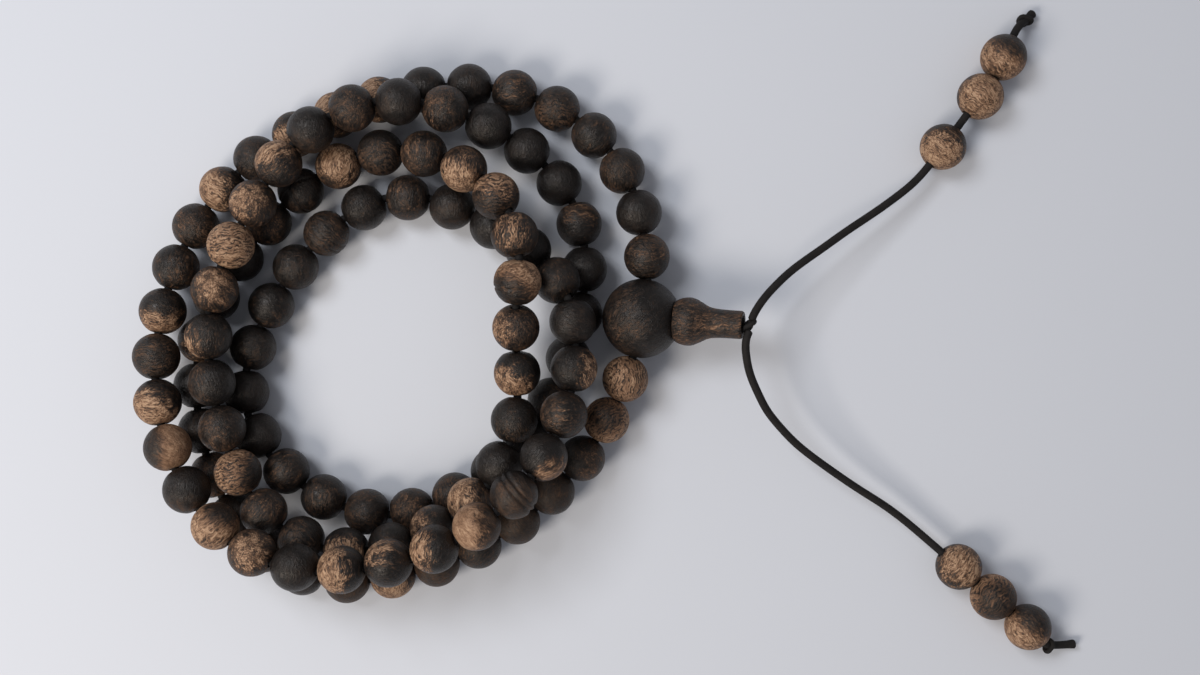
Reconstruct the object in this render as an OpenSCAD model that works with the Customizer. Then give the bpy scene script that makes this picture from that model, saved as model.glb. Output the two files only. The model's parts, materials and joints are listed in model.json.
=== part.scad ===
// A mala: 108 small wooden beads on one cord, lying in four loose turns, with
// a large bead and a tower bead where the cord's two ends leave the loop, and
// two tails that carry three counting beads each.

/* [Strand beads] */
// Diameter of one strand bead
bead_d = 6; // [5:0.1:6]
// Diameter of the hole drilled through a bead
bead_bore_d = 1.2; // [1.15:0.05:1.6]
// How steeply a bead's ends are worn back from its hole, in degrees
bead_end_slope = 15.5; // [15:0.5:18]
// Least gap between neighbouring beads on the cord
bead_gap = 0.05; // [0.04:0.01:0.2]

/* [Large bead and tower] */
// Diameter of the large bead that closes the loop
guru_d = 10.2; // [9.5:0.1:10.2]
// Diameter of the rounded foot of the tower bead
tower_foot_d = 6.2; // [5:0.1:6.6]
// Diameter of the stem of the tower bead
tower_stem_d = 3.6; // [3.2:0.1:3.6]
// Reach of the tower's tip from the middle of the large bead
tower_reach = 13.2; // [12:0.1:13.8]
// How far the tower stands up from level, in degrees
tower_rise = 16; // [8:1:20]

/* [Cord and knots] */
// Diameter of the cord
cord_d = 1; // [0.7:0.05:1]
// Width of the knot at the tip of the tower
tail_knot_d = 1.8; // [1.8:0.1:2.4]
// Width of the knot near the end of each tail
end_knot_d = 1.8; // [1.8:0.1:2.4]

/* [Hidden] */
$fn = 48;
cord_sides = 8;
bead_count = 108;

// The strand's route is a coil of four turns, seen from above and going
// anticlockwise. Its stations stand at equal angles round the coil's middle, 18
// to a turn, and each has a distance from the middle and a height over the table.
coil_middle = [-7, 0];
first_angle = 11;
last_angle = 1434;
station_radii = [
    // First turn: from the large bead, on the table and up onto the coil
    35, 38.5, 38, 34.5, 30.5, 28.5, 28.5, 28.5, 28.5,
    29.5, 31, 32.5, 31.5, 29, 28, 27, 26.5, 25.5,
    // Second turn: down to the table, inside the first
    25, 21.5, 19, 18.5, 17.5, 15.5, 14.5, 14.5, 15.5,
    18.5, 21.5, 22.5, 23.5, 24.5, 23.5, 23.5, 23.5, 24.5,
    // Third turn: up over the others
    27, 30.5, 30.5, 30, 29.5, 27, 22.5, 21.5, 21.5,
    22, 23.5, 27.5, 29.5, 28, 25.5, 23.5, 20, 17.5,
    // Fourth turn: down to the table and back to the large bead
    18, 22, 23.5, 24, 23.5, 22, 21, 21, 23.5,
    25.5, 28.5, 32.5, 34.5, 32, 31, 30.5, 31.5, 32.5
];
station_heights = [
    // First turn: from the large bead, on the table and up onto the coil
    5.1, 3, 3, 3, 3, 3, 3, 3.25, 5,
    7, 9, 10, 12.75, 13.5, 14.5, 14.75, 11, 9.25,
    // Second turn: down to the table, inside the first
    9.25, 4.5, 3.25, 3, 3, 3, 3, 3, 3,
    3, 3, 3, 3, 3, 3, 3, 3, 3,
    // Third turn: up over the others
    3, 3, 3.25, 8, 9, 8.25, 8.75, 9, 8.75,
    8.25, 8, 7.5, 6.75, 7.5, 8.5, 9.5, 8.5, 8,
    // Fourth turn: down to the table and back to the large bead
    12, 11.75, 8.75, 6, 4.5, 3.25, 3, 3, 3,
    3, 3, 3, 3, 3, 3, 3, 3.25, 5.1
];

function unit(v) = v / norm(v);

// A point a share t of the way along the stretch of curve that a, b, c and d pull on
function curve_point(a, b, c, d, t) =
    (pow(1 - t, 3) * a + (3 * pow(t, 3) - 6 * t * t + 4) * b
     + (-3 * pow(t, 3) + 3 * t * t + 3 * t + 1) * c + pow(t, 3) * d) / 6;

// A smooth curve that runs close by the points, from the first of them to the
// last, with this many steps to each
function smooth(points, steps) =
    let (last = len(points) - 1,
         pulls = concat([2 * points[0] - points[1]], points, [2 * points[last] - points[last - 1]]))
    concat(
        [for (i = [0:last - 1], k = [0:steps - 1])
            curve_point(pulls[i], pulls[i + 1], pulls[i + 2], pulls[i + 3], k / steps)],
        [points[last]]
    );

// How far along a line of points each of them lies
function lengths_along(points) =
    [for (i = 0, s = 0; i < len(points);
          s = s + (i < len(points) - 1 ? norm(points[i + 1] - points[i]) : 0), i = i + 1) s];

function point_along(points, lengths, s) =
    [for (axis = [0:2]) lookup(s, [for (i = [0:len(points) - 1]) [lengths[i], points[i][axis]]])];

stations = [for (i = [0:len(station_radii) - 1])
    let (angle = first_angle + (last_angle - first_angle) * i / (len(station_radii) - 1))
    [coil_middle.x + station_radii[i] * cos(angle),
     coil_middle.y + station_radii[i] * sin(angle),
     station_heights[i]]];
strand_line = smooth(stations, 10);
strand_lengths = lengths_along(strand_line);
strand_length = strand_lengths[len(strand_lengths) - 1];
pitch = strand_length / bead_count;
// A point of the strand's line, and the line's direction there
function on_strand(s) = point_along(strand_line, strand_lengths, s);
function heading(s) = unit(on_strand(s + 0.5) - on_strand(s - 0.5));
// The cord bends at these points, in the gaps between the beads. Each is where
// the axes of the two beads beside it meet, a little outside the line.
joints = [for (i = [0:bead_count])
    i == 0 || i == bead_count
        ? on_strand(i * pitch)
        : let (before = (i - 0.5) * pitch, after = (i + 0.5) * pitch)
          (on_strand(before) + on_strand(after) + pitch / 2 * (heading(before) - heading(after))) / 2];

// The large bead closes the loop: the strand's two ends meet in it
guru_at = (joints[0] + joints[bead_count]) / 2;
guru_across = unit(joints[0] - joints[bead_count]);
guru_bore_d = 1.6;
// The strand's ends stop beside the pair of cords that leaves for the tower
strand_end_reach = cord_d + 0.1;

// How a knot is drawn up
knot_turn_d = 0.9 * cord_d;
knot_core_share = 0.8;

// The cord holds the tower clear of the table, pointing away from the loop and a little up
tower_heading = -4;
tower_axis = [
    cos(tower_heading) * cos(tower_rise),
    sin(tower_heading) * cos(tower_rise),
    sin(tower_rise)
];
tower_foot_reach = 6.3;
tower_collar_from = 8.2;
tower_collar_d = 4.9;
tower_collar_h = 1.4;
tower_clearance = 0.08;
tower_bore_d = 2 * cord_d + 0.3;
tower_tip = guru_at + tower_reach * tower_axis;
tail_knot_at = tower_tip + (tail_knot_d / 2 + 0.05) * tower_axis;

// The tails' routes, from the knot at the tower's tip to the cut end. Both come
// down to the table to where the counting beads slide, and run straight there.
tail_upper_route = [
    [40.0, 1.3, 9.0], [40.2, 1.9, 9.0], [40.8, 3.0, 8.8], [42.0, 4.6, 8.5], [43.5, 6.1, 8.0], [45.0, 7.5, 7.5],
    [47.2, 9.1, 6.8], [49.6, 10.7, 6.1], [52.1, 12.5, 5.3], [54.7, 14.2, 4.7], [57.0, 15.7, 4.1],
    [59.1, 17.2, 3.6], [61.1, 18.7, 3.2], [63.0, 20.5, 3.0], [65.3, 23.6, 3.0], [67.6, 26.7, 3.0],
    [69.9, 29.8, 3.0], [72.2, 32.9, 3.0], [73.6, 36.0, 3.0], [75.0, 39.1, 3.0], [75.7, 39.9, 2.5],
    [76.7, 40.7, 1.4], [78.0, 41.9, 0.8]
];
tail_lower_route = [
    [39.8, 0.1, 9.1], [39.4, -0.6, 9.2], [39.2, -1.8, 9.1], [39.4, -3.4, 8.9], [39.7, -4.9, 8.6],
    [40.3, -6.5, 8.2], [41.1, -8.1, 7.8], [42.1, -10.1, 7.2], [43.9, -12.2, 6.5], [45.9, -14.3, 5.8],
    [48.2, -16.1, 5.2], [50.6, -17.8, 4.6], [52.9, -19.4, 4.2], [55.2, -20.9, 3.8], [57.5, -22.3, 3.5],
    [59.6, -23.8, 3.2], [61.6, -25.4, 3.0], [64.6, -28.0, 3.0], [67.6, -30.6, 3.0], [70.6, -33.2, 3.0],
    [73.6, -35.8, 3.0], [76.6, -38.4, 3.0], [78.9, -40.4, 3.0], [79.5, -41.0, 2.1], [81.4, -41.2, 1.1],
    [83.5, -41.1, 0.8]
];
upper_straight = [tail_upper_route[13], tail_upper_route[17]];
upper_last = [tail_upper_route[17], tail_upper_route[19]];
lower_straight = [tail_lower_route[16], tail_lower_route[21]];
upper_end_knot_at = tail_upper_route[21];
lower_end_knot_at = tail_lower_route[23];

// Middle of each counting bead: a stretch of a tail and how far along it
counters = [
    ["upper_counter_inner", upper_straight, 4.32],
    ["upper_counter_middle", upper_straight, 12.47],
    ["upper_counter_outer", upper_last, 2.97],
    ["lower_counter_inner", lower_straight, 7.94],
    ["lower_counter_middle", lower_straight, 13.895],
    ["lower_counter_outer", lower_straight, 19.85]
];
counter_half_length = 2.95;

// The middle of loop, large bead and tower, at table height, is the origin
origin_shift = [-0.8, 0.3, 0];

// Runs of strand beads that are each a node of their own, and runs that share one
single_runs = [[1, 8], [15, 33], [78, 87], [107, 108]];
shared_runs = [[9, 14], [34, 50], [51, 59], [60, 77], [88, 106]];
single_beads = [for (run = single_runs, i = [run[0]:run[1]]) i];

function padded(i) = str(i < 100 ? "0" : "", i < 10 ? "0" : "", i);
function bead_name(i) = str("bead_", padded(i));
function run_name(run) = str("beads_", padded(run[0]), "_to_", padded(run[1]));

// How dark each bead's wood is, along the strand: d dark, b brown, t tan
bead_tones = str(
    "ddbddbddttbdbdddbdbdtbdbdbbddddddddd",
    "bdbddbddddbdbbdbbddbdddbdbdbbttddbtt",
    "dbddbddbbttbtdbbdbbbdbbbbbbbbbbbdbbt"
);
wood_colours = [["d", [0.20, 0.16, 0.13]], ["b", [0.36, 0.27, 0.20]], ["t", [0.62, 0.48, 0.34]]];
function wood(tone) = wood_colours[search([tone], wood_colours)[0]][1];
cord_black = [0.06, 0.06, 0.06];

// Stands what is made on the Z axis up at a point, along an axis
module standing(at, axis) {
    translate(at + origin_shift)
        rotate([0, acos(axis.z), atan2(axis.y, axis.x)])
            children();
}

// A tube with a ring square to the line at each point of a route
module tube(route, diameter) {
    last = len(route) - 1;
    rings = [for (i = [0:last])
        let (ahead = unit(route[min(i + 1, last)] - route[max(i - 1, 0)]),
             across = unit(cross(ahead, [0, 0, 1])),
             over = cross(across, ahead))
        for (k = [0:cord_sides - 1])
            let (turn = 360 * k / cord_sides)
            route[i] + origin_shift + diameter / 2 * (cos(turn) * across + sin(turn) * over)];
    walls = [for (i = [0:last - 1], k = [0:cord_sides - 1])
        let (here = i * cord_sides + k, beside = i * cord_sides + (k + 1) % cord_sides)
        [here, here + cord_sides, beside + cord_sides, beside]];
    ends = [
        [for (k = [0:cord_sides - 1]) k],
        [for (k = [cord_sides - 1:-1:0]) last * cord_sides + k]
    ];
    polyhedron(rings, concat(walls, ends), convexity = 10);
}

// A ball drilled through, its ends worn back from the hole to shallow cones
module drilled_ball(half_length) {
    edge = bead_d / 2 + 0.2;
    shoulder = half_length - edge * tan(bead_end_slope);
    difference() {
        intersection() {
            sphere(d = bead_d);
            rotate_extrude()
                polygon([[0, -half_length], [edge, -shoulder], [edge, shoulder], [0, half_length]]);
        }
        cylinder(d = bead_bore_d, h = 2 * bead_d, center = true);
    }
}

module strand_bead(i) {
    span = joints[i] - joints[i - 1];
    color(wood(bead_tones[i - 1]))
        standing((joints[i] + joints[i - 1]) / 2, unit(span))
            drilled_ball((pitch - bead_gap) / 2);
}

module bead_run(run) {
    for (i = [run[0]:run[1]])
        strand_bead(i);
}

module counting_bead(counter) {
    stretch = counter[1];
    way = unit(stretch[1] - stretch[0]);
    color(wood("t"))
        standing(stretch[0] + counter[2] * way, way)
            drilled_ball(counter_half_length);
}

module strand_cord() {
    color(cord_black)
        tube(concat([guru_at + strand_end_reach * guru_across], joints,
                    [guru_at - strand_end_reach * guru_across]), cord_d);
}

module guru_bead() {
    color(wood("b"))
        difference() {
            standing(guru_at, guru_across)
                difference() {
                    sphere(d = guru_d);
                    cylinder(d = guru_bore_d, h = 2 * guru_d, center = true);
                }
            standing(guru_at, tower_axis)
                cylinder(d = tower_bore_d, h = guru_d);
        }
}

// The tower's foot is dished to sit on the large bead
module tower_bead() {
    color(wood("b"))
        standing(guru_at, tower_axis)
            difference() {
                union() {
                    translate([0, 0, tower_foot_reach])
                        sphere(d = tower_foot_d);
                    translate([0, 0, tower_foot_reach])
                        cylinder(d = tower_stem_d, h = tower_reach - tower_foot_reach);
                    translate([0, 0, tower_collar_from])
                        cylinder(d1 = tower_collar_d, d2 = tower_stem_d, h = tower_collar_h);
                }
                sphere(r = guru_d / 2 + tower_clearance);
                cylinder(d = tower_bore_d, h = 2 * tower_reach);
            }
}

// The two ends of the cord side by side, through the tower
module core_cord() {
    start = 0.6;
    color(cord_black)
        standing(guru_at, tower_axis)
            for (side = [-1, 1])
                translate([0, side * (cord_d / 2 + 0.03), start])
                    cylinder(d = cord_d, h = tower_reach + 0.1 - start);
}

// A tight turn of cord round a ball of it
module knot(d) {
    sphere(d = knot_core_share * d);
    rotate_extrude()
        translate([(d - knot_turn_d) / 2, 0])
            circle(d = knot_turn_d);
}

module tail_knot() {
    color(cord_black)
        standing(tail_knot_at, tower_axis)
            knot(tail_knot_d);
}

module end_knot(at, before) {
    color(cord_black)
        standing(at, unit(at - before))
            knot(end_knot_d);
}

module end_knot_upper() {
    end_knot(upper_end_knot_at, tail_upper_route[20]);
}

module end_knot_lower() {
    end_knot(lower_end_knot_at, tail_lower_route[22]);
}

module tail_cord_upper() {
    color(cord_black)
        tube(tail_upper_route, cord_d);
}

module tail_cord_lower() {
    color(cord_black)
        tube(tail_lower_route, cord_d);
}

strand_cord();
guru_bead();
tower_bead();
core_cord();
tail_knot();
tail_cord_upper();
tail_cord_lower();
end_knot_upper();
end_knot_lower();
for (counter = counters) counting_bead(counter);
for (i = single_beads) strand_bead(i);
for (run = shared_runs) bead_run(run);
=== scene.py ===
import json
import math

import bpy
import numpy as np
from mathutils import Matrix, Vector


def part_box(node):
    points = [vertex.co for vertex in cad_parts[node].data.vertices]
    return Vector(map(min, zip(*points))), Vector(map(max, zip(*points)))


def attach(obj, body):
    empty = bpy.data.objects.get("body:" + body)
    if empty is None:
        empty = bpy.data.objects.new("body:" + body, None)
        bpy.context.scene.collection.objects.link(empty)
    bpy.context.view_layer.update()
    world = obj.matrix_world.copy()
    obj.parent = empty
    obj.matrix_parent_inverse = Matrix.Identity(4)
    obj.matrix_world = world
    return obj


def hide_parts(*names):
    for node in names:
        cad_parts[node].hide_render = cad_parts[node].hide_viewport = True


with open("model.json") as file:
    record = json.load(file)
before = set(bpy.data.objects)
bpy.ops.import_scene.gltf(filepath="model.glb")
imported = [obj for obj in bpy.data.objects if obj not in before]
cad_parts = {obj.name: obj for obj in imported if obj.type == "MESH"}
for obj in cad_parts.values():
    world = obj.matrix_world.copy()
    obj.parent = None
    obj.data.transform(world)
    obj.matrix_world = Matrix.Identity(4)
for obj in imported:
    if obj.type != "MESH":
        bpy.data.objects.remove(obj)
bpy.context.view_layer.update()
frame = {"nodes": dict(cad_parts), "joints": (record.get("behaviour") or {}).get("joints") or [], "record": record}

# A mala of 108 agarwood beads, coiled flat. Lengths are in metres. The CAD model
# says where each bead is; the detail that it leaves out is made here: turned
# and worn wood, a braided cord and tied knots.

MM = 0.001
UP = np.array([0.0, 0.0, 1.0])


# ---------------------------------------------------------------- camera

# The camera looks straight down
CAMERA_PLACE = (0.0202, -0.0005, 0.178)
CAMERA_LENS = 40.4


def add_camera():
    data = bpy.data.cameras.new("camera")
    data.lens = CAMERA_LENS
    data.clip_start = 0.01
    camera = bpy.data.objects.new("camera", data)
    camera.location = CAMERA_PLACE
    bpy.context.scene.collection.objects.link(camera)
    bpy.context.scene.camera = camera


add_camera()


# ---------------------------------------------------------------- meshes

def unit(v):
    return v / np.linalg.norm(v)


def frame_along(axis):
    """Two directions square to an axis, and the axis."""
    axis = unit(np.asarray(axis, float))
    helper = UP if abs(axis[2]) < 0.9 else np.array([1.0, 0.0, 0.0])
    side = unit(np.cross(helper, axis))
    return side, np.cross(axis, side), axis


def add_mesh(name, points, faces):
    mesh = bpy.data.meshes.new(name)
    mesh.from_pydata(points.tolist(), [], faces)
    mesh.shade_smooth()
    piece = bpy.data.objects.new(name, mesh)
    bpy.context.scene.collection.objects.link(piece)
    return piece


def grid_faces(rows, columns, closed):
    """Quads between rows of points. Each row is a ring; closed joins the last row to the first."""
    faces = []
    for row in range(rows if closed else rows - 1):
        here, ahead = row * columns, (row + 1) % rows * columns
        for k in range(columns):
            beside = (k + 1) % columns
            faces.append((here + k, here + beside, ahead + beside, ahead + k))
    return faces


def evened(points, step):
    """The same line with points at an even spacing."""
    along = np.concatenate([[0], np.cumsum(np.linalg.norm(np.diff(points, axis=0), axis=1))])
    places = np.linspace(0, along[-1], int(round(along[-1] / step)) + 1)
    return np.stack([np.interp(places, along, points[:, axis]) for axis in range(3)], axis=1)


# How finely a smooth line is worked out between two of its points
SPAN_STEPS = 24


def smooth_line(points, step):
    """A smooth line close by the points, from the first to the last, evenly spaced."""
    points = np.asarray(points, float)
    padded = np.concatenate([[2 * points[0] - points[1]], points, [2 * points[-1] - points[-2]]])
    t = np.linspace(0, 1, SPAN_STEPS, endpoint=False)[:, None]
    weights = [
        (1 - t) ** 3,
        3 * t ** 3 - 6 * t ** 2 + 4,
        -3 * t ** 3 + 3 * t ** 2 + 3 * t + 1,
        t ** 3,
    ]
    pieces = [sum(weight * point for weight, point in zip(weights, padded[i:i + 4])) / 6
              for i in range(len(points) - 1)]
    return evened(np.concatenate(pieces + [points[-1:]]), step)


# ---------------------------------------------------------------- cord

CORD_D = 1.0 * MM
CORD_SIDES = 20
RING_STEP = 0.1 * MM
RIB_DEPTH = 0.035 * MM
RIB_LENGTH = 0.55 * MM
STRANDS = 5
# The cut end frays out a little, and its edge is rounded
FRAY_REACH = 0.8 * MM
END_ROUNDING = 0.3 * MM
END_FACE = 0.02 * MM


def braided_tube(name, line, diameter, end_flare=0.0):
    """A round cord of braided strands along a line of points, with rounded ends."""
    tangents = np.gradient(line, axis=0)
    tangents /= np.linalg.norm(tangents, axis=1, keepdims=True)
    side, _, _ = frame_along(tangents[0])
    angles = np.arange(CORD_SIDES) * 2 * math.pi / CORD_SIDES
    count = len(line)
    step = np.linalg.norm(np.diff(line, axis=0), axis=1).mean()
    rings = []
    for i in range(count):
        side = unit(side - tangents[i] * (side @ tangents[i]))
        over = np.cross(tangents[i], side)
        from_start, from_end = i * step, (count - 1 - i) * step
        twist = 2 * math.pi * from_start / RIB_LENGTH
        braid = np.cos(STRANDS * angles + twist) * np.cos(STRANDS * angles - twist)
        radius = diameter / 2 + RIB_DEPTH / 2 * braid
        radius = radius * (1 + end_flare * math.exp(-(from_end / FRAY_REACH) ** 2))
        for distance in (from_start, from_end):
            rounding = min(1.0, (distance + END_FACE) / END_ROUNDING)
            radius = radius * math.sqrt(1 - (1 - rounding) ** 2)
        ring = np.outer(np.cos(angles) * radius, side) + np.outer(np.sin(angles) * radius, over)
        rings.append(line[i] + ring)
    points = np.concatenate(rings)
    faces = grid_faces(count, CORD_SIDES, closed=False)
    faces.append(tuple(reversed(range(CORD_SIDES))))
    faces.append(tuple(range((count - 1) * CORD_SIDES, count * CORD_SIDES)))
    return add_mesh(name, points, faces)


# An overhand knot, in a cord one unit thick: tied loose, then drawn up by its
# two ends in small pulls. After each pull the cord settles: its links keep
# their length, its turns push each other apart, and it straightens a little.
KNOT_POINTS = 90
LOOSE_SIZE = 1.1
LOOSE_END = 2.15
PULLS = 225
PULL_LENGTH = 0.0275
SETTLINGS = 14
PUSH = 0.4
STRAIGHTENING = 0.06
# Points of the cord no further apart than this along it don't push each other
LEAST_TURN = 1.7
# The points that end up in the knot's turns
KNOTTED = slice(20, 70)


def overhand_knot():
    """The line of the knot. It runs along the first direction, and is widest along the second."""
    t = np.linspace(-LOOSE_END, LOOSE_END, KNOT_POINTS)
    loose = LOOSE_SIZE * np.stack([t ** 5 / 5 - 2 * t, t ** 4 - 4 * t ** 2, t ** 3 - 3 * t], axis=1)
    length = np.linalg.norm(np.diff(loose, axis=0), axis=1).sum()
    link = length / (KNOT_POINTS - 1)
    line = evened(loose, link)
    order = np.arange(KNOT_POINTS)
    apart = np.abs(np.subtract.outer(order, order)) > math.ceil(LEAST_TURN / link)
    ends = line[[0, -1]].copy()
    pull = unit(ends[1] - ends[0])
    for _ in range(PULLS):
        ends += np.array([[-1.0], [1.0]]) * pull * PULL_LENGTH
        for _ in range(SETTLINGS):
            for first in (0, 1):
                pairs = (KNOT_POINTS - first) // 2
                a, b = line[first:first + 2 * pairs:2], line[first + 1:first + 2 * pairs:2]
                gap = b - a
                fix = 0.5 * (1 - link / np.linalg.norm(gap, axis=1, keepdims=True)) * gap
                a += fix
                b -= fix
            offsets = line[:, None] - line[None]
            distances = np.linalg.norm(offsets, axis=2) + np.eye(KNOT_POINTS)
            push = np.where(apart & (distances < 1), (1 - distances) / distances, 0)
            line += PUSH * (offsets * push[:, :, None]).sum(1)
            line[1:-1] += STRAIGHTENING * (line[:-2] + line[2:] - 2 * line[1:-1])
            line[[0, -1]] = ends
    third = KNOT_POINTS // 3
    line -= line[third:-third].mean(0)
    across, over, along = frame_along(pull)
    a, b = line[KNOTTED] @ across, line[KNOTTED] @ over
    widest = 0.5 * math.atan2(2 * (a * b).sum(), (a * a).sum() - (b * b).sum())
    wide = across * math.cos(widest) + over * math.sin(widest)
    return np.stack([line @ along, line @ wide, line @ np.cross(along, wide)], axis=1)


KNOT_LINE = overhand_knot()
# The cord thins where a knot is drawn tight
KNOT_CORD_D = 0.6 * CORD_D
KNOT_REACH = 0.8 * MM


def tied_knot(name, at, along, turn):
    """A knot with its cord running along a direction, and turned round it."""
    side, over, along = frame_along(along)
    shape = KNOT_LINE * KNOT_CORD_D
    shape = shape[np.abs(shape[:, 0]) < KNOT_REACH]
    turned = side * math.cos(turn) + over * math.sin(turn)
    line = at + np.outer(shape[:, 0], along) + np.outer(shape[:, 1], turned)
    line = line + np.outer(shape[:, 2], np.cross(along, turned))
    return braided_tube(name, smooth_line(line, RING_STEP), KNOT_CORD_D)


# The tails' routes, as in the CAD model
ORIGIN_SHIFT = np.array([-0.0008, 0.0003, 0.0])
TAIL_UPPER_ROUTE = [
    (0.0400, 0.0013, 0.0090), (0.0402, 0.0019, 0.0090), (0.0408, 0.0030, 0.0088),
    (0.0420, 0.0046, 0.0085), (0.0435, 0.0061, 0.0080), (0.0450, 0.0075, 0.0075),
    (0.0472, 0.0091, 0.0068), (0.0496, 0.0107, 0.0061), (0.0521, 0.0125, 0.0053),
    (0.0547, 0.0142, 0.0047), (0.0570, 0.0157, 0.0041), (0.0591, 0.0172, 0.0036),
    (0.0611, 0.0187, 0.0032), (0.0630, 0.0205, 0.0030), (0.0653, 0.0236, 0.0030),
    (0.0676, 0.0267, 0.0030), (0.0699, 0.0298, 0.0030), (0.0722, 0.0329, 0.0030),
    (0.0736, 0.0360, 0.0030), (0.0750, 0.0391, 0.0030), (0.0757, 0.0399, 0.0025),
    (0.0767, 0.0407, 0.0014), (0.0780, 0.0419, 0.0008),
]
TAIL_LOWER_ROUTE = [
    (0.0398, 0.0001, 0.0091), (0.0394, -0.0006, 0.0092), (0.0392, -0.0018, 0.0091),
    (0.0394, -0.0034, 0.0089), (0.0397, -0.0049, 0.0086), (0.0403, -0.0065, 0.0082),
    (0.0411, -0.0081, 0.0078), (0.0421, -0.0101, 0.0072), (0.0439, -0.0122, 0.0065),
    (0.0459, -0.0143, 0.0058), (0.0482, -0.0161, 0.0052), (0.0506, -0.0178, 0.0046),
    (0.0529, -0.0194, 0.0042), (0.0552, -0.0209, 0.0038), (0.0575, -0.0223, 0.0035),
    (0.0596, -0.0238, 0.0032), (0.0616, -0.0254, 0.0030), (0.0646, -0.0280, 0.0030),
    (0.0676, -0.0306, 0.0030), (0.0706, -0.0332, 0.0030), (0.0736, -0.0358, 0.0030),
    (0.0766, -0.0384, 0.0030), (0.0789, -0.0404, 0.0030), (0.0795, -0.0410, 0.0021),
    (0.0814, -0.0412, 0.0011), (0.0835, -0.0411, 0.0008),
]
# The point of each route where the end knot is, and how far the knot is turned
UPPER_KNOT_POINT = 21
UPPER_KNOT_TURN = 1.2
LOWER_KNOT_POINT = 23
LOWER_KNOT_TURN = 1.7
TAIL_FRAY = 0.22


def add_tail(name, route, knot_point, knot_turn):
    """A tail's cord and the knot near its cut end."""
    points = np.array(route) + ORIGIN_SHIFT
    line = smooth_line(points, RING_STEP)
    cord = braided_tube("braided_tail_" + name, line, CORD_D, end_flare=TAIL_FRAY)
    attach(cord, "loop")
    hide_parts("tail_cord_" + name)
    way = points[knot_point] - points[knot_point - 1]
    knot = tied_knot("tied_end_knot_" + name, points[knot_point], way, knot_turn)
    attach(knot, "loop")
    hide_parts("end_knot_" + name)
    return cord, knot, line


tail_upper, end_knot_upper, tail_upper_line = add_tail(
    "upper", TAIL_UPPER_ROUTE, UPPER_KNOT_POINT, UPPER_KNOT_TURN)
tail_lower, end_knot_lower, tail_lower_line = add_tail(
    "lower", TAIL_LOWER_ROUTE, LOWER_KNOT_POINT, LOWER_KNOT_TURN)


# ---------------------------------------------------------------- where the beads are

class Ball:
    """A drilled ball of the CAD model: its middle, its hole's direction, its body and its node."""

    def __init__(self, middle, axis, body, node):
        self.middle = np.asarray(middle, float)
        self.axis = unit(np.asarray(axis, float))
        self.body = body
        self.node = node


BEAD_COUNT = 108
BEAD_R = (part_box("bead_004")[1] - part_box("bead_004")[0])[2] / 2
# The rims of a ball's hole are nearer to its middle than this share of its radius
RIM_SHARE = 0.975
nodes_of_body = frame["record"]["behaviour"]["bodies"]
body_of_node = {node: body for body, nodes in nodes_of_body.items() for node in nodes}
joint_of_body = {joint["child"]: joint for joint in frame["joints"]}


def node_centre(node):
    low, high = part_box(node)
    return np.array((low + high) / 2)


def single_ball(node):
    body = body_of_node[node]
    return Ball(node_centre(node), joint_of_body[body]["axis"], body, node)


def balls_in(node):
    """The separate drilled balls of one node."""
    mesh = frame["nodes"][node].data
    places = np.array([tuple(v.co) for v in mesh.vertices])
    corners, which = np.unique(np.round(places, 7), axis=0, return_inverse=True)
    which = which.ravel()
    group = np.arange(len(corners))
    edges = np.array([(which[e.vertices[0]], which[e.vertices[1]]) for e in mesh.edges])
    while True:
        lowest = np.minimum(group[edges[:, 0]], group[edges[:, 1]])
        before = group.copy()
        np.minimum.at(group, edges[:, 0], lowest)
        np.minimum.at(group, edges[:, 1], lowest)
        group = group[group]
        if (group == before).all():
            break
    found = []
    for label in np.unique(group):
        points = corners[group == label]
        middle = (points.min(0) + points.max(0)) / 2
        offsets = points - middle
        rims = offsets[np.linalg.norm(offsets, axis=1) < RIM_SHARE * BEAD_R]
        far_side = rims @ rims[0] > 0
        axis = rims[far_side].mean(0) - rims[~far_side].mean(0)
        found.append(Ball(middle, axis, body_of_node[node], node))
    return found


def strand_balls():
    """The 108 beads in their order along the cord, each hole pointing on to the next bead."""
    runs = {int(node[6:9]): node for node in frame["nodes"] if node.startswith("beads_")}
    balls, waiting = [], []
    for number in range(1, BEAD_COUNT + 1):
        if number in runs:
            waiting = balls_in(runs[number])
        if waiting:
            last = balls[-1]
            ahead = last.middle + BEAD_R * last.axis
            nearest = min(waiting, key=lambda ball: np.linalg.norm(ball.middle - ahead))
            waiting.remove(nearest)
            if nearest.axis @ (nearest.middle - last.middle) < 0:
                nearest.axis = -nearest.axis
            balls.append(nearest)
        else:
            balls.append(single_ball(f"bead_{number:03d}"))
    return balls


strand = strand_balls()
pitch = np.mean([np.linalg.norm(b.middle - a.middle) for a, b in zip(strand, strand[1:])])


# ---------------------------------------------------------------- wood

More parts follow.
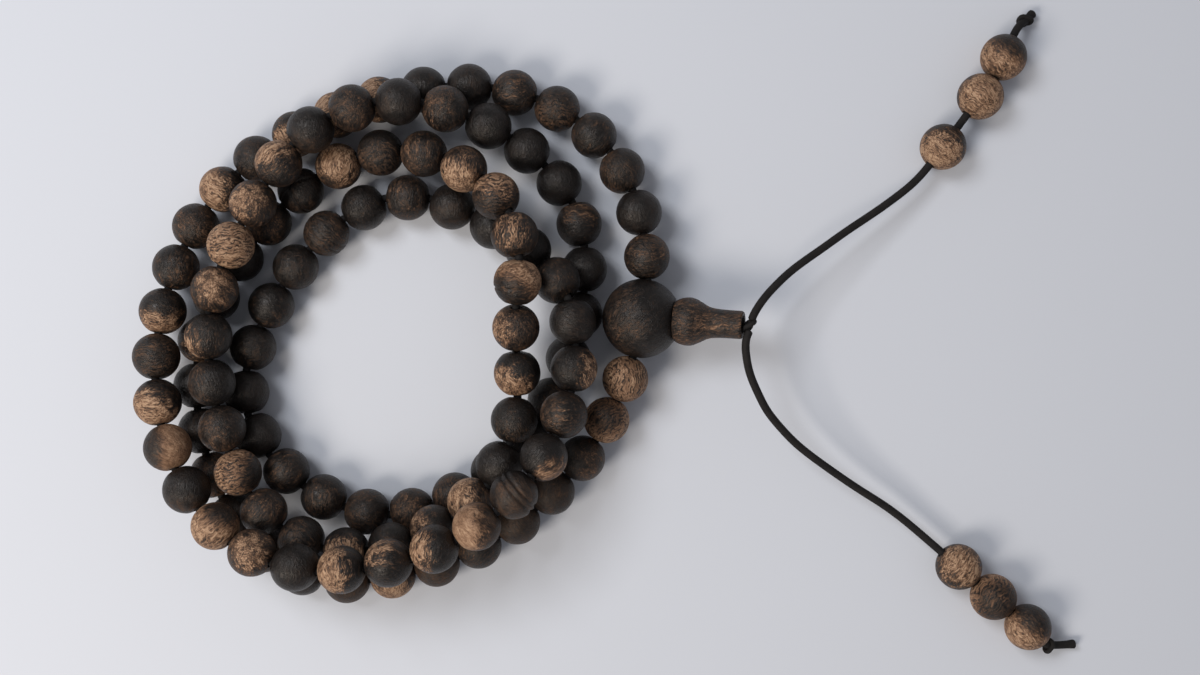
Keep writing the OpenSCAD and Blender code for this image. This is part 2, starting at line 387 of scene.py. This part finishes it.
# How each strand bead looks from above, as six letters and digits:
#   its wood and the wood of its patch: k black with resin, d dark, b brown, t light
#   where the patch lies: an hour of the clock, 1 to 9 and a, b, c, or 0 for the top
#   how far the patch reaches: 1 a small spot, 2 a third, 3 a half, 4 most of the bead
#   the figure: s fine streaks, w bold wavy lines, r rings round the patch,
#     e end grain, m mottled, p plain
#   how the grain runs: h across, v up and down, r rising to the right, f falling
# Bead 107 is given light wood (t), lighter than its own brown wood, as painted light: the lighter tone stands in
# for light that its shaded place in the coil does not get.
STRAND_LOOKS = """
    dbc2sh kk01pv bd33ev kda2sr db63rv dbc2sh kd01pv kd01pv bt93sr bt93sr dt53sf dd01er
    dt93sf db73ef db42sv dt62sh bb01wh dt73sh td92pf kb61pv tk11sr bt01ev kk01pv kt93sv
    ktb1sh kt92wv bt93pf kb02pf kt51pr dba2sh kt31ev kd01ph kd02ev kk01pv kk01pv kd62pv
    dba1sv kk01ev kb03wf dd02rv kd51sf kd52rv kk01pv kk01pv kd02sr kd02sv dba2ef db01ev
    db92wv kd01pv kk01pr kb01er kk01pv kk01pv kk01pv kbc2sh kk01pv kk01pv kk01pv dba2ev
    kd81pv db73er kb61pv dtb2sr bt01er tt01wh bt01ev kt81sv kb92wv db83ev tk31wh bk61sr
    db02rv kt02wv kb01ev kta1ev bta2sv kk01pv kd62ev kt72ef bt91ev td72sh bt01wv btc2rh
    bt72sv db92sv db63rv bt02sv kd61ev db02ev kk01pv kk01pv kt71sh kk01pv kd01pv db02ef
    dd01pv db02pv kd01pv bb01pv bt62sv bb01ph dbb2sr bb01pf db02pv kb32ef tb01wr tt91rv
""".split()
COUNTER_LOOKS = {
    "upper_counter_inner": "bt73sf",
    "upper_counter_middle": "bt03sf",
    "upper_counter_outer": "td12sf",
    "lower_counter_inner": "bt02sr",
    "lower_counter_middle": "tb02wr",
    "lower_counter_outer": "td12sf",
}
GURU_LOOK = "kb92wr"
TOWER_LOOK = "bt01sh"
# How light each wood is, and how far from the middle a patch starts, as a share of the radius
TONES = {"k": 0.085, "d": 0.22, "b": 0.34, "t": 0.8}
PATCH_REACHES = {"1": 0.78, "2": 0.45, "3": 0.1, "4": -0.3}
GRAIN_RUNS = {"h": 0, "r": 45, "v": 90, "f": 135}
# How bold a figure's growth lines and its fibres are
FIGURES = {
    "s": (0.35, 0.9),
    "w": (1.0, 0.6),
    "r": (1.0, 0.5),
    "e": (0.25, 0.8),
    "m": (0.2, 0.55),
    "p": (0.08, 0.35),
}
# How far beads of one look differ, by chance, in tone and, in degrees, in the grain's run
TONE_SPREAD = 0.04
GRAIN_SPREAD = 12
# A piece comes from anywhere in a plank that reaches this far each way, in millimetres
PLANK_REACH = 200
# Leans up from level, as shares of a right angle
TOP_PATCH_LEAN = 0.85
SIDE_PATCH_LEAN = 0.3
FIBRE_LEAN = 0.1
END_GRAIN_LEAN = 0.6
LAYER_LEAN = 0.3


def tilted(angle, lean):
    """A direction at an angle seen from above, leaning up by a share of a right angle."""
    flat, rise = math.cos(lean * math.pi / 2), math.sin(lean * math.pi / 2)
    return np.array([math.cos(angle) * flat, math.sin(angle) * flat, rise])


def give_wood(piece, middle, look, random):
    """Stores on a piece what the wood's material reads: each point's place in the plank that it
    was cut from and its depth in the patch, in millimetres, and the wood's tones and figure."""
    wood, patch_wood, hour, reach, figure, run = look
    points = np.array([tuple(v.co) for v in piece.data.vertices]) - middle
    if hour == "0":
        # Any way round, because it hardly matters near the top
        to_patch = tilted(random.uniform(0, 6), TOP_PATCH_LEAN)
    else:
        to_patch = tilted(math.radians(90 - 30 * int(hour, 16)), SIDE_PATCH_LEAN)
    angle = math.radians(GRAIN_RUNS[run] + random.uniform(-GRAIN_SPREAD, GRAIN_SPREAD))
    fibre = tilted(angle, random.uniform(-FIBRE_LEAN, FIBRE_LEAN))
    if figure == "e":
        fibre = tilted(angle, END_GRAIN_LEAN)
    if figure == "r":
        layers = to_patch
        fibre = unit(fibre - layers * (fibre @ layers))
    else:
        layers = unit(np.cross(fibre, UP + LAYER_LEAN * tilted(angle, 0)))
    third = np.cross(fibre, layers)
    plank = np.stack([points @ layers, points @ third, points @ fibre], axis=1) / MM
    plank += random.uniform(-PLANK_REACH, PLANK_REACH, 3)
    size = np.linalg.norm(points, axis=1).max()
    depth = (points @ to_patch - PATCH_REACHES[reach] * size) / MM
    attributes = piece.data.attributes
    in_plank = attributes.new("plank", "FLOAT_VECTOR", "POINT")
    in_plank.data.foreach_set("vector", plank.ravel().astype(np.float32))
    in_patch = attributes.new("patch", "FLOAT", "POINT")
    in_patch.data.foreach_set("value", depth.astype(np.float32))
    lines, fibres = FIGURES[figure]
    piece["tone"] = TONES[wood] + random.uniform(-TONE_SPREAD, TONE_SPREAD)
    piece["patch_tone"] = TONES[patch_wood] + random.uniform(-TONE_SPREAD, TONE_SPREAD)
    piece["lines"] = lines
    piece["fibres"] = fibres


def rounded(values, limits, radius):
    """The lesser of two values, with the corner between them rounded off."""
    share = np.clip(0.5 + 0.5 * (limits - values) / radius, 0, 1)
    return limits * (1 - share) + values * share - radius * share * (1 - share)


BORE_R = 0.6 * MM
# The counting beads slide, so their holes are worn wider
COUNTER_BORE_R = 0.66 * MM
BORE_LIP = 0.1 * MM
WORN_EDGE = 0.06 * MM
LEAST_END_SLOPE = math.radians(2.5)
BEAD_SIDES = 96
BEAD_ROWS = 60
HOLE_ROWS = 6


def ball_profile(radius, half_length, bore_r, slopes):
    """Half the outline of a drilled ball whose ends are worn to cones: rows of distance from the
    axis and height, from one lip of its hole over the outside to the other and back through it."""
    start = math.asin((bore_r + BORE_LIP) / radius)
    angles = np.linspace(start, math.pi - start, BEAD_ROWS)
    out, height = radius * np.sin(angles), radius * np.cos(angles)
    worn = half_length - out * np.where(height > 0, math.tan(slopes[0]), math.tan(slopes[1]))
    height = np.sign(height) * rounded(np.abs(height), worn, WORN_EDGE)
    turn = np.radians([60, 30, 0])
    lip = np.stack([bore_r + BORE_LIP * (1 - np.cos(turn)), BORE_LIP * (np.sin(turn) - 1)], axis=1)
    hole = np.linspace(height[-1] + BORE_LIP, height[0] - BORE_LIP, HOLE_ROWS + 2)[1:-1]
    inside = np.stack([np.full(HOLE_ROWS, bore_r), hole], axis=1)
    lower_lip = lip * [1, -1] + [0, height[-1]]
    upper_lip = lip[::-1] + [0, height[0]]
    return np.concatenate([np.stack([out, height], axis=1), lower_lip, inside, upper_lip])


def lathe(name, profile, middle, axis, relief=None, sides=BEAD_SIDES):
    """A closed outline turned round an axis. relief says how far out each direction is pushed."""
    side, over, axis = frame_along(axis)
    angles = np.arange(sides) * 2 * math.pi / sides
    ring = np.outer(np.cos(angles), side) + np.outer(np.sin(angles), over)
    points = profile[:, None, :1] * ring[None] + profile[:, None, 1:] * axis
    points = points.reshape(-1, 3)
    if relief is not None:
        distances = np.linalg.norm(points, axis=1, keepdims=True)
        points = points * (1 + relief(points / distances)[:, None] / distances)
    return add_mesh(name, points + middle, grid_faces(len(profile), sides, closed=True))


# How deep a ball's broad and its fine unevenness go
BROAD_WEAR = 0.05 * MM
FINE_WEAR = 0.03 * MM
COARSEST_WAVE = 1.5


def waves(random, count, finest):
    """A gentle random relief over a ball, between 0 and -1."""
    ways = random.normal(0, 1, (count, 3))
    lengths = np.linalg.norm(ways, axis=1, keepdims=True)
    ways = ways / lengths * random.uniform(COARSEST_WAVE, finest, (count, 1))
    starts = random.uniform(0, 2 * math.pi, count)

    def height(directions):
        return (np.sin(directions @ ways.T + starts).mean(1) - 1) / 2
    return height


def worn_relief(random, bore_axis, extra=None):
    """Turning and wear: a little out of round, inside the true ball, and nothing at the hole."""
    broad = waves(random, count=4, finest=4.0)
    fine = waves(random, count=10, finest=16.0)

    def relief(directions):
        from_hole = 1 - np.abs(directions @ bore_axis) ** 6
        height = BROAD_WEAR * broad(directions) + FINE_WEAR * fine(directions)
        if extra is not None:
            height = height + extra(directions)
        return np.clip(from_hole, 0, 1) * height
    return relief


def facet(way, depth):
    """A flat worn on a ball, square to a direction."""
    def height(directions):
        facing = np.maximum(directions @ unit(way), 0.05)
        return -np.maximum(0, BEAD_R - (BEAD_R - depth) / facing)
    return height


def groove(way, offset, width, depth):
    """A furrow round a ball, in a plane square to a direction."""
    def height(directions):
        return -depth * np.exp(-((directions @ unit(way) * BEAD_R - offset) / width) ** 2)
    return height


def both(*shapes):
    return lambda directions: sum(shape(directions) for shape in shapes)


# Beads with a shape of their own: flats that meet in a ridge, and ridges between
# furrows. A furrow has its offset from the middle, its width and its depth.
SPECIAL_SHAPES = {
    24: groove(np.array([0.95, 0.1, 0.2]), -0.35 * MM, 0.12 * MM, 0.12 * MM),
    27: both(
        facet(np.array([-0.35, -0.3, 0.85]), 0.35 * MM),
        facet(np.array([0.5, 0.35, 0.8]), 0.35 * MM),
    ),
    28: both(
        groove(np.array([0.75, 0.65, 0.0]), 0.3 * MM, 0.24 * MM, 0.26 * MM),
        groove(np.array([0.75, 0.65, 0.0]), 1.15 * MM, 0.22 * MM, 0.22 * MM),
    ),
    39: both(
        groove(np.array([0.7, 0.7, 0.3]), 0.6 * MM, 0.12 * MM, 0.12 * MM),
        groove(np.array([0.7, 0.7, 0.3]), -0.4 * MM, 0.12 * MM, 0.12 * MM),
    ),
    82: groove(np.array([0.1, 1.0, 0.1]), -0.9 * MM, 0.12 * MM, 0.15 * MM),
    89: both(
        groove(np.array([0.5, -0.8, 0.3]), 0.2 * MM, 0.12 * MM, 0.25 * MM),
        groove(np.array([0.9, 0.2, 0.4]), 0.5 * MM, 0.1 * MM, 0.2 * MM),
    ),
}


def add_bead(name, ball, half_length, slopes, look, seed, extra=None, bore_r=BORE_R):
    random = np.random.default_rng(seed)
    profile = ball_profile(BEAD_R, half_length, bore_r, slopes)
    relief = worn_relief(random, ball.axis, extra)
    piece = lathe(name, profile, ball.middle, ball.axis, relief)
    give_wood(piece, ball.middle, look, random)
    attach(piece, ball.body)
    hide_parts(ball.node)
    return piece


def end_slopes(index):
    """How far the ends of a strand bead lean back, so that it clears its neighbours in the bend."""
    axis = strand[index].axis
    slopes = []
    for other in (min(index + 1, BEAD_COUNT - 1), max(index - 1, 0)):
        bend = math.acos(min(1.0, axis @ strand[other].axis))
        slopes.append(bend / 2 + LEAST_END_SLOPE)
    return slopes


STRAND_CLEARANCE = 0.015 * MM
COUNTER_HALF_LENGTH = 2.95 * MM
# What starts the random draws of each piece. A strand bead's is its number.
FIRST_COUNTER_SEED = 200
GURU_SEED = 301
TOWER_SEED = 302

strand_beads = []
for index, (ball, look) in enumerate(zip(strand, STRAND_LOOKS)):
    number = index + 1
    strand_beads.append(add_bead(
        f"wood_bead_{number:03d}", ball, pitch / 2 - STRAND_CLEARANCE, end_slopes(index), look,
        number, SPECIAL_SHAPES.get(number)))

counters = {}
for node, look in COUNTER_LOOKS.items():
    ball = single_ball(node)
    counters[node] = add_bead(
        "wood_" + node, ball, COUNTER_HALF_LENGTH, (LEAST_END_SLOPE, LEAST_END_SLOPE), look,
        FIRST_COUNTER_SEED + len(counters), bore_r=COUNTER_BORE_R)


# ---------------------------------------------------------------- large bead and tower

tower_axis = unit(np.array(joint_of_body["tower"]["axis"]))
guru_middle = np.array(joint_of_body["tower"]["pos_m"])
guru_r = (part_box("guru_bead")[1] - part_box("guru_bead")[0])[0] / 2
guru_across = unit(strand[0].middle - 0.5 * pitch * strand[0].axis
                   - strand[-1].middle - 0.5 * pitch * strand[-1].axis)
GURU_BORE_R = 0.8 * MM
GURU_BORE_LIP = 0.15 * MM
GURU_SIDES = 160
GURU_ROWS = 110
GURU_HOLE_ROWS = 12


def add_guru():
    random = np.random.default_rng(GURU_SEED)
    start = math.asin((GURU_BORE_R + GURU_BORE_LIP) / guru_r)
    angles = np.linspace(start, math.pi - start, GURU_ROWS)
    outside = np.stack([guru_r * np.sin(angles), guru_r * np.cos(angles)], axis=1)
    hole_end = outside[0, 1] - GURU_BORE_LIP
    inside = [(GURU_BORE_R, h) for h in np.linspace(-hole_end, hole_end, GURU_HOLE_ROWS)]
    relief = worn_relief(random, guru_across)
    profile = np.concatenate([outside, inside])
    piece = lathe("wood_guru_bead", profile, guru_middle, guru_across, relief, GURU_SIDES)
    give_wood(piece, guru_middle, GURU_LOOK, random)
    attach(piece, "loop")
    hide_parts("guru_bead")
    return piece


# The tower's outline: height along its axis from the large bead's middle, and
# distance from the axis, in millimetres. A ball, a shoulder, and a long stem.
TOWER_OUTLINE = [
    (4.46, 2.5), (4.6, 2.66), (5.0, 2.86), (5.6, 3.04), (6.25, 3.1),
    (6.8, 3.02), (7.2, 2.86), (7.4, 2.76), (7.5, 2.64), (7.6, 2.68),
    (7.9, 2.5), (8.3, 2.26), (8.8, 2.03), (9.3, 1.9), (10.0, 1.83),
    (11.0, 1.79), (12.0, 1.78), (12.85, 1.79), (13.08, 1.76), (13.2, 1.62),
]
OUTLINE_STEP = 0.12 * MM
TOWER_BORE_R = 1.15 * MM
TOWER_BORE_LIP = 0.1 * MM
TOWER_SIDES = 112
TOWER_HOLE_ROWS = 14
END_FACE_ROWS = 5
DISH_ROWS = 10
# Its foot is hollowed to sit on the large bead
DISH_CLEARANCE = 0.08 * MM
DISH_EDGE_R = 2.5 * MM
END_FACE_R = 1.55 * MM
DISH_TO_HOLE = 0.3 * MM
TOWER_WOOD_MIDDLE = 8 * MM


def add_tower():
    random = np.random.default_rng(TOWER_SEED)
    dish_r = guru_r + DISH_CLEARANCE
    outline = np.array(TOWER_OUTLINE)[:, ::-1] * MM
    line = smooth_line(np.column_stack([outline, np.zeros(len(outline))]), OUTLINE_STEP)[:, :2]
    across = np.linspace(TOWER_BORE_R, DISH_EDGE_R, DISH_ROWS)
    dish = [(r, math.sqrt(dish_r ** 2 - r ** 2)) for r in across]
    line = line[np.linalg.norm(line, axis=1) > dish_r]
    tip = line[-1, 1]
    rim_r = TOWER_BORE_R + TOWER_BORE_LIP
    end_face = [(r, tip) for r in np.linspace(END_FACE_R, rim_r, END_FACE_ROWS)]
    hole_ends = tip - TOWER_BORE_LIP, dish[0][1] + DISH_TO_HOLE
    hole = [(TOWER_BORE_R, h) for h in np.linspace(*hole_ends, TOWER_HOLE_ROWS)]
    profile = np.concatenate([dish, line, end_face, hole])[::-1]
    piece = lathe("wood_tower_bead", profile, guru_middle, tower_axis, sides=TOWER_SIDES)
    give_wood(piece, guru_middle + TOWER_WOOD_MIDDLE * tower_axis, TOWER_LOOK, random)
    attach(piece, "tower")
    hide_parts("tower_bead")
    return piece


guru = add_guru()
tower = add_tower()


# ---------------------------------------------------------------- cord through the beads

# How far from the large bead's middle the cord's two ends stop
STRAND_CORD_END = 1.1 * MM
STRAND_CORD_STEP = 0.25 * MM
# The cord's points in a bead, as shares of the pitch from its middle
POINTS_IN_BEAD = (-0.4, -0.15, 0.15, 0.4)


def strand_line():
    """The cord's line: straight through each bead, and bent in the gaps between them."""
    points = [guru_middle + STRAND_CORD_END * guru_across]
    for ball in strand:
        for share in POINTS_IN_BEAD:
            points.append(ball.middle + share * pitch * ball.axis)
    points.append(guru_middle - STRAND_CORD_END * guru_across)
    return smooth_line(points, STRAND_CORD_STEP)


strand_cord = braided_tube("braided_strand_cord", strand_line(), CORD_D)
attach(strand_cord, "loop")
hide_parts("strand_cord")

# The knot at the tower's tip is drawn a little way into its hole
TAIL_KNOT_SUNK = 0.25 * MM
TAIL_KNOT_WAY = (0.1, 1.0, 0.0)
TAIL_KNOT_TURN = 1.5
knot_middle = node_centre("tail_knot") - TAIL_KNOT_SUNK * tower_axis
tail_knot = tied_knot("tied_tail_knot", knot_middle, TAIL_KNOT_WAY, TAIL_KNOT_TURN)
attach(tail_knot, "loop")
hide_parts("tail_knot")


# ---------------------------------------------------------------- materials

class Graph:
    """A material's node tree, written a node at a time."""

    def __init__(self, name):
        self.material = bpy.data.materials.new(name)
        self.material.use_nodes = True
        self.tree = self.material.node_tree
        self.surface = self.tree.nodes["Principled BSDF"]

    def put(self, socket, value):
        if isinstance(value, bpy.types.NodeSocket):
            self.tree.links.new(value, socket)
        else:
            socket.default_value = value

    def node(self, kind, inputs, **settings):
        made = self.tree.nodes.new(kind)
        for name, value in settings.items():
            setattr(made, name, value)
        for name, value in inputs.items():
            self.put(made.inputs[name], value)
        return made

    def math(self, operation, a, b=0.0):
        return self.node("ShaderNodeMath", {0: a, 1: b}, operation=operation).outputs[0]

    def add(self, a, b):
        return self.math("ADD", a, b)

    def times(self, a, b):
        return self.math("MULTIPLY", a, b)

    def vector(self, operation, a, b):
        return self.node("ShaderNodeVectorMath", {0: a, 1: b}, operation=operation).outputs[0]

    def noise(self, at, scale, detail=2.0, roughness=0.5):
        inputs = {"Vector": at, "Scale": scale, "Detail": detail, "Roughness": roughness}
        return self.node("ShaderNodeTexNoise", inputs)

    def step(self, value, low, high, start=0.0, end=1.0):
        inputs = {0: value, 1: low, 2: high, 3: start, 4: end}
        made = self.node("ShaderNodeMapRange", inputs, interpolation_type="SMOOTHSTEP")
        return made.outputs[0]

    def blend(self, share, a, b):
        """a where share is 0, b where it is 1."""
        return self.node("ShaderNodeMix", {0: share, 2: a, 3: b}, data_type="FLOAT").outputs[0]

    def attribute(self, name, kind="GEOMETRY"):
        return self.node("ShaderNodeAttribute", {}, attribute_name=name, attribute_type=kind)

    def ramp(self, value, stops):
        made = self.node("ShaderNodeValToRGB", {0: value})
        elements = made.color_ramp.elements
        while len(elements) < len(stops):
            elements.new(0.5)
        for element, (place, colour) in zip(elements, stops):
            element.position = place
            element.color = (*colour, 1.0)
        return made.outputs[0]

    def bump(self, height, strength, distance):
        inputs = {"Height": height, "Strength": strength, "Distance": distance}
        made = self.node("ShaderNodeBump", inputs)
        self.put(self.surface.inputs["Normal"], made.outputs[0])


# The wood's colour at each tone, from black resin to the lightest wood
WOOD_COLOURS = [
    (0.0, (0.005, 0.004, 0.0035)),
    (0.18, (0.0135, 0.009, 0.007)),
    (0.36, (0.036, 0.021, 0.013)),
    (0.55, (0.100, 0.050, 0.027)),
    (0.75, (0.235, 0.124, 0.067)),
    (1.0, (0.46, 0.285, 0.17)),
]
# Noises over the plank: the lumps in a millimetre, the detail, and the roughness
DRIFT_NOISE = (0.5, 2)
BLOTCH_NOISE = (0.8, 4, 0.6)
GRIT_NOISE = (7.0, 3, 0.7)
# How far the grain drifts from straight, in millimetres
GRAIN_DRIFT = (1.5, 1.5, 1.5)
# The figure's streaks: how many there are in a millimetre across the fibres and
# along them, the noise's detail, and the range of the noise from none to full
BANDS = (1.1, 0.15, 2, 0.34, 0.66)
BOLD_FIBRES = (3.6, 0.5, 3, 0.34, 0.66)
FINE_FIBRES = (8.5, 1.3, 2, 0.36, 0.64)
PORES = (6.6, 1.4, 1, 0.56, 0.65)
FLECKS = (5.4, 1.1, 1, 0.6, 0.7)
# A patch fades out over this far on each side of its edge, in millimetres, in
# blotches and in streaks along the fibres
PATCH_FADE = 1.0
PATCH_BLOTCHES = 2.4
PATCH_STREAKS = 0.7
# Growth lines are broken dark sheets, a little under half a millimetre apart
LINES_TURN = 14.0
LINES_WAVER = 1.6
LINE_BREAKS = (1.9, 1.9, 1.1)
# What each part of the figure adds to the tone
BLOTCH_TONE = 0.5
BAND_TONE = 0.24
BOLD_TONE = 0.3
FINE_TONE = 0.36
LINE_TONE = -0.46
PORE_TONE = -0.28
FLECK_TONE = 0.2
# What each part of the figure adds to the height of the surface
BOLD_RELIEF = 0.6
FINE_RELIEF = 0.6
PORE_RELIEF = -0.7
LINE_RELIEF = -0.4
GRIT_RELIEF = 0.7
# The height that 1 in a bump stands for
BUMP_HEIGHT = 0.04 * MM


def agarwood():
    """Wood in two tones, with growth lines, fibres and pores that run through it as in a plank."""
    g = Graph("agarwood")
    plank = g.attribute("plank").outputs["Vector"]
    patch = g.attribute("patch").outputs["Fac"]
    tone, patch_tone, lines, fibres = (
        g.attribute(name, "OBJECT").outputs["Fac"]
        for name in ("tone", "patch_tone", "lines", "fibres"))
    drift = g.vector("SUBTRACT", g.noise(plank, *DRIFT_NOISE).outputs["Color"], (0.5, 0.5, 0.5))
    bent = g.vector("ADD", plank, g.vector("MULTIPLY", drift, GRAIN_DRIFT))

    def fibre_noise(across, along, detail, low, high):
        made = g.noise(g.vector("MULTIPLY", bent, (across, across, along)), 1.0, detail, 0.6)
        return g.step(made.outputs["Fac"], low, high, -0.5, 0.5)

    bands = fibre_noise(*BANDS)
    bold = fibre_noise(*BOLD_FIBRES)
    fine = fibre_noise(*FINE_FIBRES)
    pore = fibre_noise(*PORES)
    fleck = fibre_noise(*FLECKS)
    blotches = g.noise(plank, *BLOTCH_NOISE).outputs["Fac"]

    blotched = g.times(g.add(blotches, -0.5), PATCH_BLOTCHES)
    streaked = g.times(g.add(bands, fine), PATCH_STREAKS)
    ragged = g.add(patch, g.add(blotched, streaked))
    wood = g.blend(g.step(ragged, -PATCH_FADE, PATCH_FADE), tone, patch_tone)

    layer = g.node("ShaderNodeSeparateXYZ", {0: bent}).outputs[0]
    wave = g.math("SINE", g.times(g.add(layer, g.times(blotches, LINES_WAVER)), LINES_TURN))
    breaks = g.noise(g.vector("MULTIPLY", bent, LINE_BREAKS), 1.0, 2).outputs["Fac"]
    unbroken = g.step(breaks, 0.4, 0.54)
    line_depth = g.times(g.times(g.step(wave, -0.1, 0.7), lines), unbroken)

    fibred = g.add(g.times(bold, BOLD_TONE), g.times(fine, FINE_TONE))
    streaks = g.add(g.times(bands, BAND_TONE), fibred)
    wood = g.add(wood, g.times(g.add(blotches, -0.5), BLOTCH_TONE))
    wood = g.add(wood, g.times(streaks, fibres))
    wood = g.add(wood, g.times(line_depth, LINE_TONE))
    wood = g.add(wood, g.times(g.times(g.add(pore, 0.5), fibres), PORE_TONE))
    wood = g.add(wood, g.times(g.times(g.add(fleck, 0.5), fibres), FLECK_TONE))
    wood = g.node("ShaderNodeClamp", {"Value": wood}).outputs[0]
    g.put(g.surface.inputs["Base Color"], g.ramp(wood, WOOD_COLOURS))
    # The dark wood is the more polished, and its sheen is warm
    polish = g.add(g.step(wood, 0.05, 0.6, 0.38, 0.62), g.times(fine, 0.1))
    g.put(g.surface.inputs["Roughness"], polish)
    g.surface.inputs["Specular IOR Level"].default_value = 0.4
    g.surface.inputs["Specular Tint"].default_value = (1.0, 0.9, 0.82, 1.0)

    raised = g.add(g.times(bold, BOLD_RELIEF), g.times(fine, FINE_RELIEF))
    sunk = g.add(g.times(pore, PORE_RELIEF), g.times(line_depth, LINE_RELIEF))
    grit = g.noise(plank, *GRIT_NOISE).outputs["Fac"]
    g.bump(g.add(g.add(raised, sunk), g.times(grit, GRIT_RELIEF)), 0.8, BUMP_HEIGHT)
    return g.material


CORD_COLOURS = [(0.3, (0.006, 0.005, 0.0045)), (0.7, (0.020, 0.016, 0.014))]
# Noises over the cord: the lumps in a metre, and the detail
FUZZ_NOISE = (9000.0, 2)
WEAR_NOISE = (900.0, 3)


def black_cord():
    """Matt black fibre, a little dusty on its high strands."""
    g = Graph("black_cord")
    at = g.node("ShaderNodeTexCoord", {}).outputs["Object"]
    fuzz = g.noise(at, *FUZZ_NOISE).outputs["Fac"]
    wear = g.noise(at, *WEAR_NOISE).outputs["Fac"]
    dust = g.add(g.times(fuzz, 0.5), g.times(wear, 0.5))
    g.put(g.surface.inputs["Base Color"], g.ramp(dust, CORD_COLOURS))
    g.surface.inputs["Roughness"].default_value = 0.8
    g.surface.inputs["Specular IOR Level"].default_value = 0.25
    g.bump(fuzz, 0.5, BUMP_HEIGHT)
    return g.material


wood_material = agarwood()
cord_material = black_cord()
for piece in strand_beads + list(counters.values()) + [guru, tower]:
    piece.data.materials.append(wood_material)
for piece in [tail_upper, tail_lower, end_knot_upper, end_knot_lower, tail_knot, strand_cord]:
    piece.data.materials.append(cord_material)
core_cord = frame["nodes"]["core_cord"]
core_cord.data.materials.clear()
core_cord.data.materials.append(cord_material)


# ---------------------------------------------------------------- floor and light

FLOOR_HALF = 1.5
FLOOR_COLOUR = (0.665, 0.665, 0.69, 1.0)
SKY_COLOUR = (0.86, 0.90, 1.0, 1.0)
SKY_STRENGTH = 0.3


def add_floor():
    half = FLOOR_HALF
    points = np.array([(-half, -half, 0), (half, -half, 0), (half, half, 0), (-half, half, 0)])
    floor = add_mesh("floor", points, [(0, 1, 2, 3)])
    g = Graph("pale_board")
    g.surface.inputs["Base Color"].default_value = FLOOR_COLOUR
    g.surface.inputs["Roughness"].default_value = 0.8
    g.surface.inputs["Specular IOR Level"].default_value = 0.2
    floor.data.materials.append(g.material)


def add_light(name, place, size, power, colour):
    """A square soft light that shines at the middle of the mala."""
    data = bpy.data.lights.new(name, "AREA")
    data.size = size
    data.energy = power
    data.color = colour
    light = bpy.data.objects.new(name, data)
    light.location = place
    aim = -np.asarray(place)
    light.rotation_euler = (math.atan2(math.hypot(aim[0], aim[1]), -aim[2]), 0,
                            math.atan2(aim[1], aim[0]) - math.pi / 2)
    bpy.context.scene.collection.objects.link(light)


def add_surroundings():
    world = bpy.data.worlds.new("studio")
    world.use_nodes = True
    sky = world.node_tree.nodes["Background"]
    sky.inputs[0].default_value = SKY_COLOUR
    sky.inputs[1].default_value = SKY_STRENGTH
    bpy.context.scene.world = world


add_floor()
add_light("window", place=(-0.19, 0.15, 0.36), size=0.17, power=0.9, colour=(0.88, 0.93, 1.0))
add_light("lamp", place=(-0.20, -0.17, 0.29), size=0.15, power=0.85, colour=(1.0, 0.95, 0.88))
add_surroundings()
bpy.context.scene.view_settings.view_transform = "Standard"
